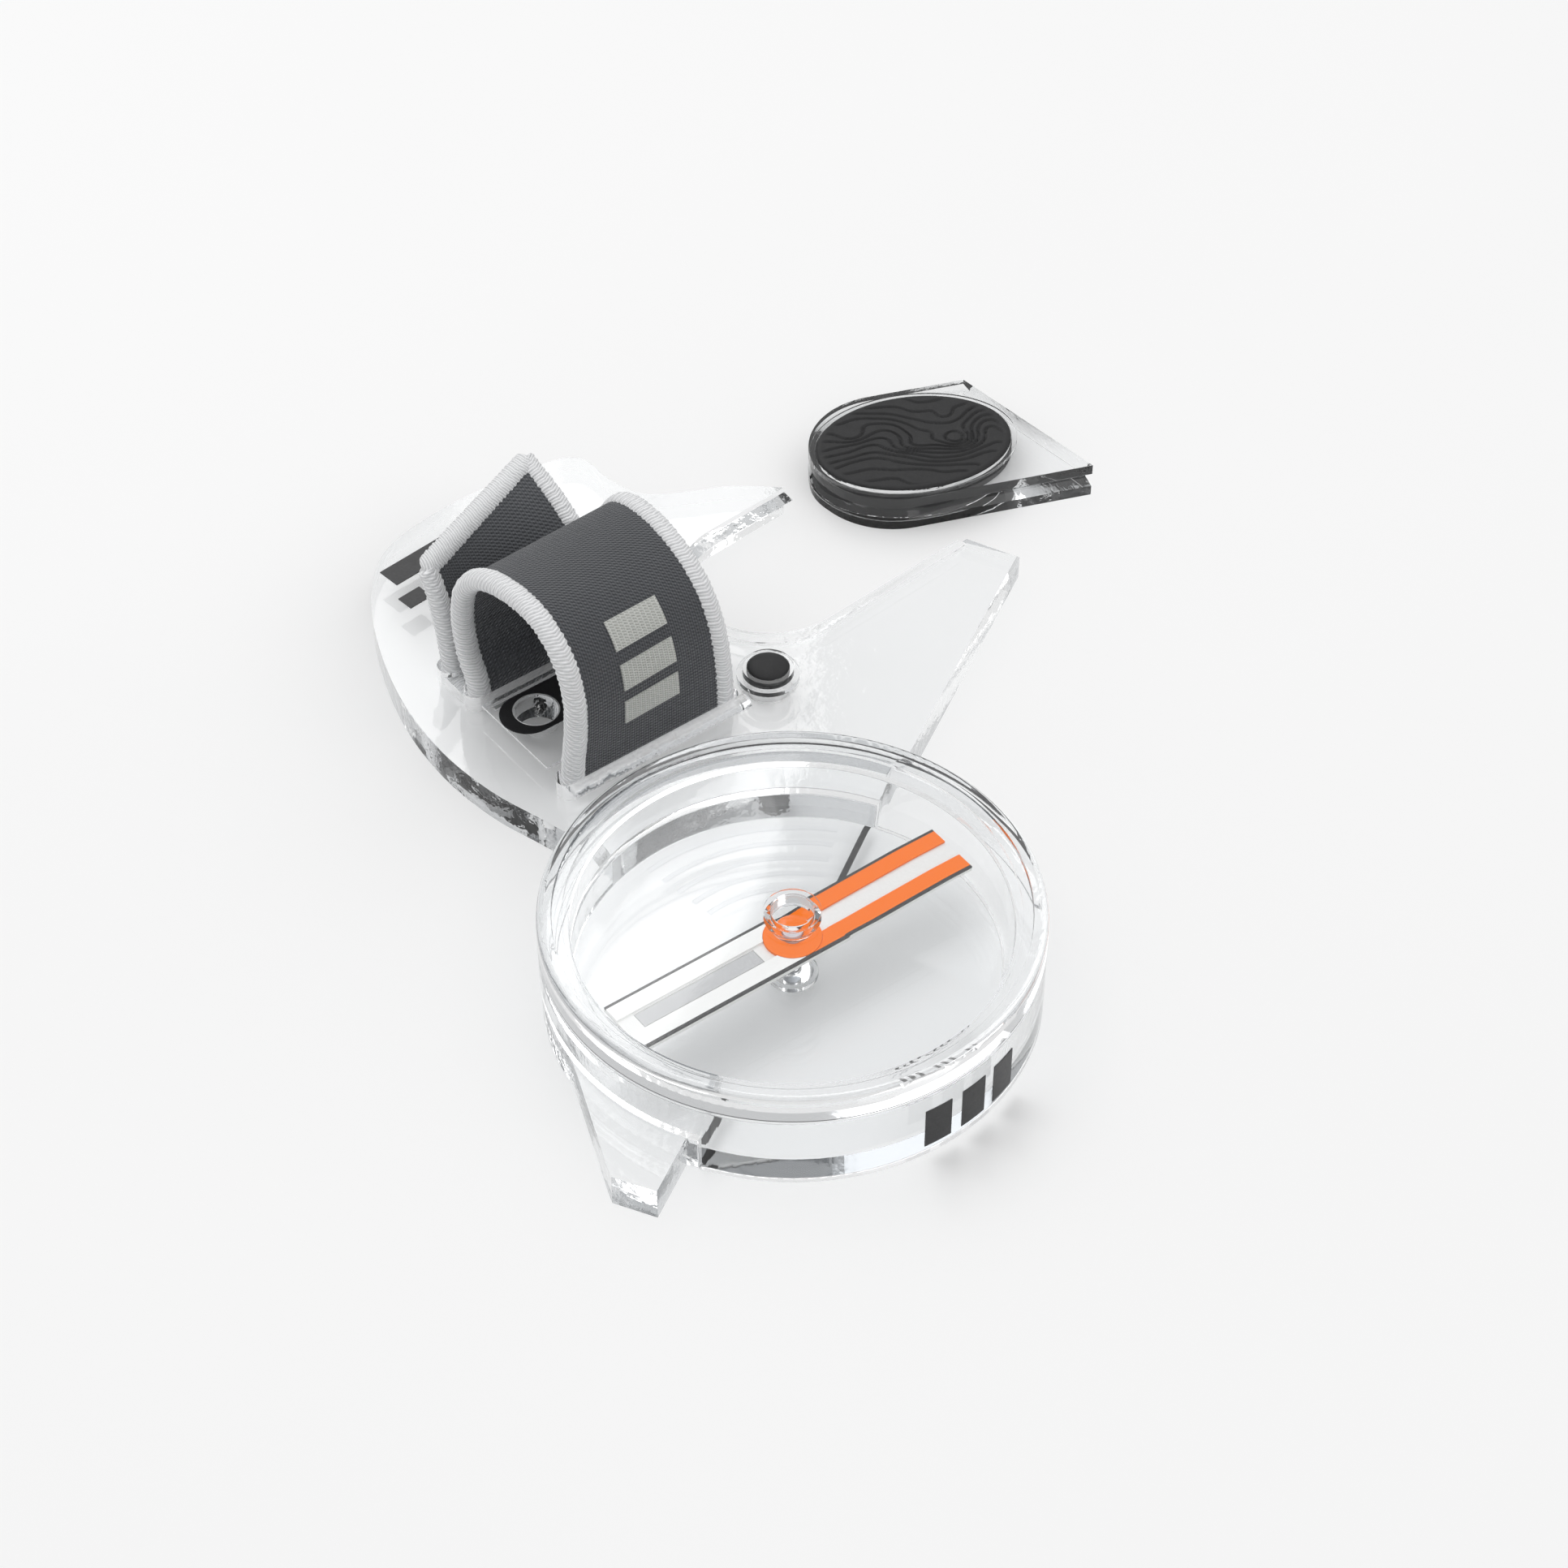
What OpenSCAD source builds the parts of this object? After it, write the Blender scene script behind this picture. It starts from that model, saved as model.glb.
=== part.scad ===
// Thumb compass: clear map plate, sealed round capsule with a wide needle, elastic thumb
// strap, and a loose click-in thumb pad module lying in front of its notch.
// Millimetres. Origin on the capsule axis in the resting plane, +Y is the travel direction.

/* [Plate] */

// plate thickness
plate_t = 3.4; // [2:0.1:5]
// travel edge to capsule axis, the straight ruler side
ruler_x = 0.3; // [-2:0.1:4]
// front edge ahead of the capsule axis
front_y = 59; // [50:0.5:70]
// rear foot tip behind the capsule axis
foot_y = 28; // [24:0.5:34]
// bevel on the front tip beside the ruler side
tip_bevel = 0.9; // [0.4:0.1:2]

/* [Capsule] */

// outside radius of capsule and lens ring
capsule_r = 22; // [18:0.5:28]
// full height of the capsule
capsule_h = 10.4; // [8:0.1:14]
// height of the joint between housing and lens
seam_z = 7.7; // [6:0.1:9]
// radius of the liquid chamber
chamber_r = 19.2; // [15:0.1:25]
// floor thickness of the housing
floor_t = 1.2; // [0.8:0.1:2]

/* [Needle] */

// needle length over both ends
needle_l = 35.5; // [26:0.5:37]
// needle width
needle_w = 5.8; // [3:0.1:7]
// height of the needle underside
needle_z = 5.4; // [4:0.1:7]
// resting direction of the orange end, clockwise from the travel direction
needle_angle = 31.4; // [-180:0.2:180]

/* [Strap] */

// strap width over both edge bindings
strap_w = 19.5; // [14:0.5:24]
// woven band thickness
band_t = 1.1; // [0.8:0.1:1.8]
// knitted edge binding, thickness and width
binding_t = 2; // [1.4:0.1:2.4]
binding_w = 2.3; // [1.5:0.1:3]
// loop height over the plate at the entry side and at the tip side
loop_h_near = 16.4; // [12:0.2:24]
loop_h_far = 13.6; // [10:0.2:20]

/* [Pad module] */

// notch and module end radius
notch_r = 8.7; // [7:0.1:11]
// clearance between module and notch
notch_gap = 0.3; // [0.1:0.05:0.6]
// notch direction, clockwise from the travel direction
notch_angle = 26; // [0:1:40]
// turn of the loose module from its docked direction, clockwise
module_turn = 26; // [0:1:60]
// module plate thickness
module_t = 3.8; // [3:0.1:5]
// clear floor under the rubber pad
pad_floor = 0.5; // [0.3:0.1:1]

/* [Lanyard] */

// lanyard hole radius
lanyard_r = 2.1; // [1.5:0.1:3]

/* [Hidden] */

$fn = 96;

eps = 0.01;
fit = 0.05;
print_t = 0.08;

// capsule seat: the plate carries a half ring that lies in a rebate of the housing
ring_in_r = 20.5;
ring_out_r = capsule_r - 0.1;
rebate_z = plate_t + 0.1;

// lens
window_z = 8.3;
window_top = 9.6;
shoulder = 0.7;
step_r = 20.7;
step_z = 9.95;
lip_r = 19.8;

// pivot
pin_r = 0.45;
pin_tip = needle_z - 0.35;
boss_r = 2.3;
boss_h = 2.2;

// needle
needle_t = 0.35;
rail_w = 1.6;
edge_w = 0.28;
disc_r = 2.59;
jewel_r = 0.9;

// strap frame: origin mid right slot, local +Y along the slots, local -X outward
strap_at = [-23.2, 21.45];
strap_turn = 30;
slot_w = 2.5;
slot_l = strap_w + 1;
slot_right = -0.2;
slot_inner = 14.8;
slot_outer = 19.1;
under_z = 1.15;
channel_z = 2.4;
tail_near = [21.8, 13.2];
tail_far = [31.6, 11.4];

// lanyard hole in strap coordinates (outward, along)
lanyard_u = 9.4;
lanyard_s = -5.9;
well_z = plate_t - 0.5;

// friction button
button_at = [-15.75, 33.05];
button_r = 1.95;

// notch and module
notch_c = [-21.2, 46.7];
notch_reach = 14;
tongue = 0.7;
groove_z = 1.9;
module_at = [-16.9, 68.87];
module_r = notch_r - notch_gap;
module_nose = 0.8;
pad_rx = 10.1;
pad_ry = 7.25;
pad_at = [2.2, -0.4];
pad_top = module_t + 0.65;
rim_w = 0.6;
rim_h = 0.35;

// ---------------------------------------------------------------- helpers

// Catmull-Rom point between p1 and p2
function spline_at(p0, p1, p2, p3, t) =
  0.5 * ((2 * p1) + (p2 - p0) * t + (2 * p0 - 5 * p1 + 4 * p2 - p3) * t * t
         + (3 * p1 - p0 - 3 * p2 + p3) * t * t * t);

// smooth open curve through a list of points
function spline(pts, steps) =
  let (n = len(pts))
  [for (i = [0:n - 2], k = [0:steps - 1])
     spline_at(pts[max(0, i - 1)], pts[i], pts[i + 1], pts[min(n - 1, i + 2)], k / steps)];

function bezier(p0, p1, p2, t) = (1 - t) * (1 - t) * p0 + 2 * t * (1 - t) * p1 + t * t * p2;

function arc(c, r, a0, a1, n) =
  [for (k = [0:n]) c + r * [cos(a0 + (a1 - a0) * k / n), sin(a0 + (a1 - a0) * k / n)]];

function unit(v) = v / norm(v);

// ---------------------------------------------------------------- base plate

// left lobe from the first horn round to the capsule
lobe = [
  [-24.7, 59.3], [-29.6, 57.6], [-33.6, 55.0], [-37.6, 53.1], [-41.6, 54.0],
  [-45.2, 55.8], [-48.0, 54.4], [-52.6, 47.8], [-56.0, 41.0], [-57.3, 35.2],
  [-55.6, 29.2], [-51.6, 22.9], [-46.0, 16.8], [-39.8, 12.2], [-33.4, 9.2],
  [-27.4, 7.6], [-22.4, 6.2], [-19.8, 4.6]
];

module lobe_shape() {
  polygon(concat(spline(lobe, 5), arc([0, 0], ring_in_r + 0.6, 167, 90, 24),
                 [[ruler_x, ring_in_r + 0.6], [ruler_x, front_y], [-20, front_y + 1.2]]));
}

module rear_foot_shape() {
  a = 225.9;
  touch = (ring_out_r - 0.6) * [cos(a), sin(a)];
  polygon([touch, [-5.5, -foot_y + 0.8], [-4.8, -foot_y], [ruler_x - 1, -foot_y],
           [ruler_x - 1, -18]]);
}

module ring_half_shape() {
  difference() {
    circle(r = ring_out_r);
    translate([ruler_x, -50])
      square([100, 100]);
  }
}

// notch with a V tongue standing out of its wall: turned blind end and straight run
module notch_cut(r, depth, half_h, z) {
  wall = [[r, -1], [r, z - half_h], [r - depth, z], [r, z + half_h], [r, plate_t + 1]];
  translate([notch_c[0], notch_c[1], 0])
    rotate([0, 0, 90 - notch_angle]) {
      rotate_extrude()
        polygon(concat([[0, -1]], wall, [[0, plate_t + 1]]));
      rotate([90, 0, 90])
        linear_extrude(height = notch_reach + 10)
          polygon(concat(wall, [for (k = [4:-1:0]) [-wall[k][0], wall[k][1]]]));
    }
}

module strap_frame() {
  translate([strap_at[0], strap_at[1], 0])
    rotate([0, 0, -strap_turn])
      children();
}

module slot_cut(u, w) {
  translate([-u, 0, -1])
    linear_extrude(height = plate_t + 4) {
      square([w, slot_l - w], center = true);
      for (side = [-1, 1])
        translate([0, side * (slot_l - w) / 2])
          circle(d = w, $fn = 32);
    }
}

// chamfer along a top edge of the plate, centred on the edge
module tip_cut(at, turn, run) {
  translate([at[0], at[1], plate_t])
    rotate([0, 0, turn])
      rotate([45, 0, 0])
        cube([run, tip_bevel * sqrt(2), tip_bevel * sqrt(2)], center = true);
}

module base_plate() {
  color([0.92, 0.94, 0.95, 0.35])
    difference() {
      union() {
        linear_extrude(height = plate_t)
          difference() {
            union() {
              lobe_shape();
              rear_foot_shape();
              ring_half_shape();
            }
            circle(r = ring_in_r);
          }
        // rounded ledge along the right slot
        strap_frame()
          translate([1.9 - slot_right, 0, plate_t - 0.2])
            rotate([90, 0, 0])
              cylinder(r = 0.9, h = slot_l - 0.4, center = true, $fn = 32);
        // stepped collar round the friction button
        translate([button_at[0], button_at[1], plate_t - eps]) {
          cylinder(r = 3, h = 0.5);
          cylinder(r = 2.45, h = 1.2);
        }
      }
      notch_cut(notch_r, tongue, 0.9, groove_z);
      // strap slots and the underside channel where the band turns round the bar
      strap_frame() {
        slot_cut(slot_right, slot_w);
        slot_cut(slot_inner, slot_w);
        slot_cut(slot_outer, slot_w);
        translate([-(slot_inner + slot_outer) / 2, 0, 0])
          cube([slot_outer - slot_inner, slot_l - 0.3, 2 * channel_z], center = true);
        // thumb well between the slots
        translate([-12.6, -slot_l / 2 + 0.4, well_z])
          cube([10.6, slot_l - 0.8, 5]);
        // sight groove beside the inner slot
        translate([-12.2, -slot_l / 2 + 1.4, well_z - 0.5])
          cube([0.4, slot_l - 2.8, 5]);
        // lanyard hole
        translate([-lanyard_u, lanyard_s, -1])
          cylinder(r = lanyard_r, h = plate_t + 2);
      }
      // friction button bore
      translate([button_at[0], button_at[1], -1])
        cylinder(r = button_r + fit, h = plate_t + 4);
      // bevelled front tip
      tip_cut([-3, front_y], 0, 9);
    }
}

// block print on the lobe: two plain bars
module plate_print() {
  color([0.08, 0.08, 0.09])
    translate([-53.2, 36.4, plate_t])
      rotate([0, 0, 66])
        linear_extrude(height = print_t) {
          square([9.6, 2.6], center = true);
          translate([-4.7, -3.9])
            square([2.6, 1.9], center = true);
        }
}

// black stadium round the lanyard hole
module lanyard_print() {
  color([0.07, 0.07, 0.08])
    strap_frame()
      translate([-lanyard_u, 0, well_z])
        linear_extrude(height = print_t)
          difference() {
            union() {
              for (y = [lanyard_s - 0.9, 0.5])
                translate([0, y])
                  circle(r = 2.75);
              translate([-2.75, lanyard_s - 0.9])
                square([5.5, 0.5 - lanyard_s + 0.9]);
            }
            translate([0, lanyard_s])
              circle(r = lanyard_r + 0.15);
          }
}

module friction_button() {
  color([0.2, 0.2, 0.2])
    translate([button_at[0], button_at[1], 0]) {
      cylinder(r = button_r, h = plate_t + 1);
      translate([0, 0, plate_t + 1])
        intersection() {
          translate([0, 0, -2.6])
            sphere(r = norm([button_r, 2.6]));
          translate([-5, -5, -eps])
            cube([10, 10, 3]);
        }
    }
}

// ---------------------------------------------------------------- capsule

module capsule_housing() {
  color([0.93, 0.95, 0.96, 0.3])
    difference() {
      union() {
        cylinder(r = capsule_r, h = seam_z, $fn = 128);
      }
      translate([0, 0, floor_t])
        cylinder(r = chamber_r, h = capsule_h, $fn = 128);
      // rebate for the half ring of the plate
      intersection() {
        translate([ruler_x + 0.1 - 60, -30, -1])
          cube([60, 60, rebate_z + 1]);
        difference() {
          translate([0, 0, -2])
            cylinder(r = capsule_r + 2, h = rebate_z + 2, $fn = 128);
          translate([0, 0, -3])
            cylinder(r = ring_in_r - fit, h = rebate_z + 4, $fn = 128);
        }
      }
      // fine step at the lens joint
      translate([0, 0, seam_z - 0.25])
        difference() {
          cylinder(r = capsule_r + 1, h = 1, $fn = 128);
          translate([0, 0, -1])
            cylinder(r = capsule_r - 0.25, h = 3, $fn = 128);
        }
    }
}

module capsule_lens() {
  cup_r = 2.5;
  color([0.94, 0.96, 0.97, 0.25])
    rotate_extrude($fn = 128) {
      // outer ring: flat crown with a rounded shoulder and a lower step inside
      polygon([[chamber_r, seam_z], [capsule_r, seam_z], [capsule_r, capsule_h - shoulder],
               [capsule_r - shoulder, capsule_h - shoulder], [capsule_r - shoulder, capsule_h],
               [step_r, capsule_h], [step_r, step_z], [lip_r, step_z], [lip_r, window_z + 0.6],
               [chamber_r, window_z + 0.6]]);
      translate([capsule_r - shoulder, capsule_h - shoulder])
        circle(r = shoulder, $fn = 48);
      // window
      translate([cup_r - 0.6, window_z])
        square([lip_r - cup_r + 0.8, window_top - window_z]);
      // hollow needle stop in the middle
      polygon([[0, 7.15], [1.9, 7.15], [cup_r, window_z], [cup_r, window_top + 0.2],
               [1.95, window_top + 0.2], [1.95, window_z], [1.5, 7.55], [0, 7.55]]);
    }
}

// printed line along the travel direction, ahead of the pivot and again at the rear wall
module travel_line() {
  color([0.05, 0.05, 0.06])
    for (run = [[boss_r + 0.6, chamber_r - 0.1], [0.4 - chamber_r, -14.6]])
      translate([-0.3, run[0], floor_t])
        cube([0.6, run[1] - run[0], print_t]);
}

// concentric turning marks moulded on the forward half of the floor
module floor_rings() {
  color([0.9, 0.92, 0.93, 0.4])
    translate([0, 0, floor_t])
      for (r = [10:1.9:17.6])
        rotate([0, 0, 98])
          rotate_extrude(angle = 60, $fn = 128)
            translate([r, 0])
              square([0.5, 0.12]);
}

// three plain blocks printed round the outside of the housing
module capsule_print() {
  color([0.06, 0.06, 0.07])
    for (k = [0:2])
      rotate([0, 0, -38 + 10 * k])
        translate([0, 0, 1.2])
          rotate_extrude(angle = 7, $fn = 128)
            translate([capsule_r, 0])
              square([print_t, 4.4]);
}

module pivot_boss() {
  color([0.94, 0.95, 0.96, 0.4])
    translate([0, 0, floor_t])
      difference() {
        union() {
          cylinder(r = boss_r, h = 0.5);
          translate([0, 0, 0.5])
            cylinder(r1 = boss_r - 0.4, r2 = 1.1, h = boss_h - 0.5);
        }
        translate([0, 0, 0.4])
          cylinder(r = pin_r + fit, h = boss_h, $fn = 48);
      }
}

module pivot_pin() {
  color([0.75, 0.76, 0.78])
    translate([0, 0, floor_t + 0.4]) {
      cylinder(r = pin_r, h = pin_tip - floor_t - 1.2, $fn = 48);
      translate([0, 0, pin_tip - floor_t - 1.2])
        cylinder(r1 = pin_r, r2 = 0.08, h = 0.8, $fn = 48);
    }
}

// ---------------------------------------------------------------- needle

module needle_frame(z) {
  rotate([0, 0, 90 - needle_angle])
    translate([0, 0, z])
      children();
}

half_l = needle_l / 2;
inner_w = needle_w / 2 - edge_w;

// clear strip that carries the coloured bars
module needle_carrier() {
  color([0.93, 0.93, 0.92, 0.5])
    needle_frame(needle_z)
      linear_extrude(height = needle_t)
        difference() {
          square([needle_l, needle_w], center = true);
          circle(r = jewel_r + fit, $fn = 48);
          // bed of the magnet in the white half
          translate([-half_l + 1.6, -0.85])
            square([half_l - 5.2, 1.7]);
        }
}

module needle_rails(from, to) {
  for (side = [-1, 1])
    translate([from, side == 1 ? inner_w - rail_w : -inner_w, 0])
      cube([to - from, rail_w, 0.2]);
}

module needle_north() {
  color([0.99, 0.5, 0.24])
    needle_frame(needle_z + needle_t)
      difference() {
        needle_rails(0.5, half_l);
        translate([0, 0, -1])
          cylinder(r = disc_r + 0.02, h = 3);
      }
}

module needle_south() {
  color([0.97, 0.97, 0.96])
    needle_frame(needle_z + needle_t)
      difference() {
        needle_rails(-half_l, -0.5);
        translate([0, 0, -1])
          cylinder(r = disc_r + 0.02, h = 3);
      }
}

module needle_disc() {
  color([0.99, 0.5, 0.24])
    needle_frame(needle_z + needle_t)
      difference() {
        intersection() {
          cylinder(r = disc_r, h = 0.25);
          cube([20, 2 * inner_w + 0.62, 5], center = true);
        }
        translate([0, 0, -1])
          cylinder(r = jewel_r + fit, h = 3, $fn = 48);
      }
}

module needle_edges() {
  color([0.08, 0.08, 0.08])
    needle_frame(needle_z + needle_t)
      for (side = [-1, 1])
        translate([0, side * (needle_w / 2 - edge_w / 2), 0.1])
          difference() {
            cube([needle_l, edge_w, 0.2], center = true);
            translate([0, -side * (needle_w / 2 - edge_w / 2), 0])
              cylinder(r = disc_r + 0.02, h = 3, center = true);
          }
}

module needle_magnet() {
  color([0.62, 0.63, 0.65])
    needle_frame(needle_z + 0.02)
      translate([-half_l + 1.65, -0.8, 0])
        cube([half_l - 5.3, 1.6, needle_t - 0.02]);
}

module needle_jewel() {
  color([0.85, 0.82, 0.86])
    needle_frame(needle_z - 0.55)
      difference() {
        cylinder(r = jewel_r, h = 1.4, $fn = 48);
        translate([0, 0, -eps])
          cylinder(r1 = 0.7, r2 = 0.12, h = 0.5, $fn = 48);
      }
}

// ---------------------------------------------------------------- strap

// loop profile across the slots, [outward, height over the plate], for unit height;
// the entry side bulges to both sides, the tip side is lower and leans outward
loop_near = [[-0.5, 0.1], [-1.2, 0.34], [-1.4, 0.6], [-0.1, 0.84], [3.4, 1], [8.2, 1],
             [12.8, 0.89], [15.7, 0.7], [16.7, 0.47], [16.3, 0.22], [15.1, 0.04]];
loop_far = [[-0.2, 0.1], [0.2, 0.36], [1.1, 0.6], [3, 0.82], [6.4, 0.98], [10.8, 1.05],
            [14.8, 0.99], [17.1, 0.77], [17.5, 0.48], [16.8, 0.22], [15.2, 0.04]];
loop_steps = 3;
tail_n = 6;

function loop_path(side) =
  let (p = side == 0 ? loop_near : loop_far, h = side == 0 ? loop_h_near : loop_h_far)
  spline(concat([[slot_right, 1.6]], [for (q = p) [q[0], plate_t + 0.2 + h * q[1]]],
                [[slot_inner, 2.3]]), loop_steps);

function path(side) =
  let (t = side == 0 ? tail_near : tail_far,
       k = side == 0 ? [slot_outer + 0.5, 9.2] : [slot_outer + 2.2, 9])
  concat(
    [[slot_right, 0.4]],
    loop_path(side),
    [[slot_inner, 2.3], [slot_inner + 0.35, under_z + 0.35], [slot_inner + 1.1, under_z],
     [slot_outer - 1.1, under_z], [slot_outer - 0.35, under_z + 0.35]],
    [for (i = [0:tail_n]) bezier([slot_outer, 2.3], k, t, i / tail_n)]
  );

near_path = path(0);
far_path = path(1);
stations = len(near_path);

function tangent(p, i) = unit(p[min(stations - 1, i + 1)] - p[max(0, i - 1)]);

// point on the strap: station i, offset n along the outward normal, s across the width
function strap_point(i, n, s) =
  let (k = (s + strap_w / 2) / strap_w,
       p = near_path[i] * (1 - k) + far_path[i] * k,
       d = unit(tangent(near_path, i) * (1 - k) + tangent(far_path, i) * k),
       q = p + n * [-d[1], d[0]])
  [-q[0], s, q[1]];

// closed sweep of a section polygon [[n, s], ...] along stations i0..i1
module strap_sweep(section, i0, i1) {
  m = len(section);
  pts = [for (i = [i0:i1], q = section) strap_point(i, q[0], q[1])];
  count = i1 - i0;
  polyhedron(
    points = pts,
    faces = concat(
      [[for (j = [0:m - 1]) j]],
      [for (i = [0:count - 1], j = [0:m - 1])
         [i * m + j, (i + 1) * m + j, (i + 1) * m + (j + 1) % m, i * m + (j + 1) % m]],
      [[for (j = [m - 1:-1:0]) count * m + j]]
    ),
    convexity = 6
  );
}

function binding_section(s) =
  [for (a = [0:30:330]) [binding_t / 2 * cos(a), s + binding_w / 2 * sin(a)]];

last = stations - 1;
band_s = strap_w / 2 - binding_w - 0.05;

module strap_band() {
  color([0.31, 0.32, 0.34])
    strap_frame()
      strap_sweep([[-band_t / 2, -band_s], [band_t / 2, -band_s],
                   [band_t / 2, band_s], [-band_t / 2, band_s]], 0, last - 1);
}

module strap_binding_near() {
  color([0.77, 0.77, 0.78])
    strap_frame()
      strap_sweep(binding_section(-(strap_w - binding_w) / 2), 0, last);
}

module strap_binding_far() {
  color([0.77, 0.77, 0.78])
    strap_frame()
      strap_sweep(binding_section((strap_w - binding_w) / 2), 0, last);
}

// binding across the free end of the tail
module strap_binding_end() {
  a = strap_point(last, 0, -band_s + 0.1);
  b = strap_point(last, 0, band_s - 0.1);
  color([0.77, 0.77, 0.78])
    strap_frame()
      hull() {
        translate(a)
          sphere(r = 1, $fn = 16);
        translate(b)
          sphere(r = 1, $fn = 16);
      }
}

// plain woven blocks on the outside of the loop
module strap_motif() {
  color([0.75, 0.76, 0.72])
    strap_frame()
      for (k = [0:2])
        strap_sweep([[band_t / 2 + 0.02, -3.2], [band_t / 2 + 0.14, -3.2],
                     [band_t / 2 + 0.14, 3.2], [band_t / 2 + 0.02, 3.2]],
                    6 + 3 * k, 8 + 3 * k);
}

// ---------------------------------------------------------------- pad module

module module_frame() {
  translate([module_at[0], module_at[1], 0])
    rotate([0, 0, 90 - notch_angle - module_turn])
      children();
}

// outline in the module's own frame: round end at the origin, square end along +X
module module_shape() {
  r = module_r;
  reach = [for (side = [-1, 1])
             (front_y - notch_c[1] - side * r * sin(notch_angle)) / cos(notch_angle)
             + module_nose];
  circle(r = r);
  polygon([[0, -r], [reach[0], -r], [reach[1], r], [0, r]]);
}

module module_groove(z) {
  profile = [[0.4, -1.15], [0.4, 1.15], [-tongue - 0.15, 0]];
  translate([0, 0, z]) {
    rotate([0, 0, 90])
      rotate_extrude(angle = 180, $fn = 96)
        translate([module_r, 0])
          polygon(profile);
    for (side = [-1, 1])
      translate([0, side * module_r, 0])
        rotate([90, 0, 90])
          linear_extrude(height = 30)
            polygon([for (p = profile) [side * p[0], p[1]]]);
  }
}

module pad_shape(grow) {
  translate(pad_at)
    scale([1, (pad_ry + grow) / (pad_rx + grow)])
      circle(r = pad_rx + grow);
}

module module_plate() {
  color([0.92, 0.94, 0.95, 0.35])
    module_frame()
      difference() {
        union() {
          linear_extrude(height = module_t)
            module_shape();
          // low rim round the pad
          linear_extrude(height = module_t + rim_h)
            pad_shape(rim_w);
        }
        translate([0, 0, pad_floor])
          linear_extrude(height = module_t + 2)
            pad_shape(0.05);
        module_groove(groove_z);
      }
}

// closed contour line: radius wobbling round a centre
function contour(r, wob, phase) =
  [for (a = [0:7.5:352.5])
     (r + wob * cos(2 * a + phase) + 0.5 * wob * sin(3 * a - phase)) * [cos(a), 0.72 * sin(a)]];

module contour_groove(at, r, wob, phase) {
  translate([at[0], at[1], pad_top - 0.25])
    linear_extrude(height = 1)
      difference() {
        polygon(contour(r + 0.12, wob, phase));
        polygon(contour(r - 0.12, wob, phase));
      }
}

module module_pad() {
  color([0.2, 0.2, 0.2])
    module_frame()
      difference() {
        translate([0, 0, pad_floor + 0.05])
          linear_extrude(height = pad_top - pad_floor - 0.05)
            pad_shape(0);
        for (k = [0:3]) {
          contour_groove([3.6, -0.6], 0.9 + 0.95 * k, 0.12 + 0.13 * k, 40 + 25 * k);
        }
        for (k = [0:1]) {
          contour_groove([-4.2, 1.1], 0.9 + 0.9 * k, 0.16 + 0.1 * k, 110 + 30 * k);
        }
      }
}

// ---------------------------------------------------------------- nodes

base_plate();
plate_print();
lanyard_print();
friction_button();
capsule_housing();
capsule_lens();
travel_line();
floor_rings();
capsule_print();
pivot_boss();
pivot_pin();
needle_carrier();
needle_north();
needle_south();
needle_disc();
needle_edges();
needle_magnet();
needle_jewel();
strap_band();
strap_binding_near();
strap_binding_far();
strap_binding_end();
strap_motif();
module_plate();
module_pad();
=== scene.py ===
from math import cos, exp, hypot, pi, radians, sin, tau

import bmesh
import bpy
from mathutils import Matrix, Vector, noise


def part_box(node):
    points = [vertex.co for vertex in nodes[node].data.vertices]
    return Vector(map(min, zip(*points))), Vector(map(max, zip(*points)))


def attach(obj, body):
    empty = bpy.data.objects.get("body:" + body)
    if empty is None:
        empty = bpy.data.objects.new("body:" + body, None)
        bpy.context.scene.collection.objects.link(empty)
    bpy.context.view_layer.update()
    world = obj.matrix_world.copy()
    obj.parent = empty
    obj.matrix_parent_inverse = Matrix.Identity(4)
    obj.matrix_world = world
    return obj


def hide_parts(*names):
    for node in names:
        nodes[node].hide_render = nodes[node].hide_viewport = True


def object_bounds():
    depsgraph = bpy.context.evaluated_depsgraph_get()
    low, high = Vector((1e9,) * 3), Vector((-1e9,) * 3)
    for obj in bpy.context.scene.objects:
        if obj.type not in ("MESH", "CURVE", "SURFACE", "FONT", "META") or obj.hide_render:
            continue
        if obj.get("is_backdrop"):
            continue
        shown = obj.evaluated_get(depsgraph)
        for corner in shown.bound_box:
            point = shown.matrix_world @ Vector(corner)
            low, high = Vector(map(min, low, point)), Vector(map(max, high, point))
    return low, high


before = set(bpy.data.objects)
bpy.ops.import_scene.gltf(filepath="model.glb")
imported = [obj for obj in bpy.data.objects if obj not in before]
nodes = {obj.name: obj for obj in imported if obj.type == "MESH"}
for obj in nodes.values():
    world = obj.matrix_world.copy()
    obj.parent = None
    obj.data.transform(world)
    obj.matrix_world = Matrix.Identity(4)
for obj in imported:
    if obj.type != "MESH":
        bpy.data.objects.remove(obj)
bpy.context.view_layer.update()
MM = 0.001
PER_METRE = 1000
HALF_MM = PER_METRE / 2

scene = bpy.context.scene
scene.view_settings.view_transform = "Standard"


# ------------------------------------------------------------------ node helpers

def maths(nt, op, x, y=None):
    """Math node; x and y are numbers or sockets."""
    m = nt.nodes.new("ShaderNodeMath")
    m.operation = op
    for k, v in enumerate((x, y)):
        if v is None:
            continue
        if isinstance(v, (int, float)):
            m.inputs[k].default_value = v
        else:
            nt.links.new(v, m.inputs[k])
    return m.outputs[0]


def coloured(nt, value, stops):
    """Colour ramp; stops are (position, (r, g, b))."""
    r = nt.nodes.new("ShaderNodeValToRGB")
    els = r.color_ramp.elements
    while len(els) < len(stops):
        els.new(0.5)
    for el, (at, c) in zip(els, stops):
        el.position = at
        el.color = (*c, 1)
    nt.links.new(value, r.inputs[0])
    return r.outputs[0]


def shaded(nt, value, stops):
    """Grey ramp; stops are (position, grey)."""
    return coloured(nt, value, [(at, (v, v, v)) for at, v in stops])


# ------------------------------------------------------------------ camera and light

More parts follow.
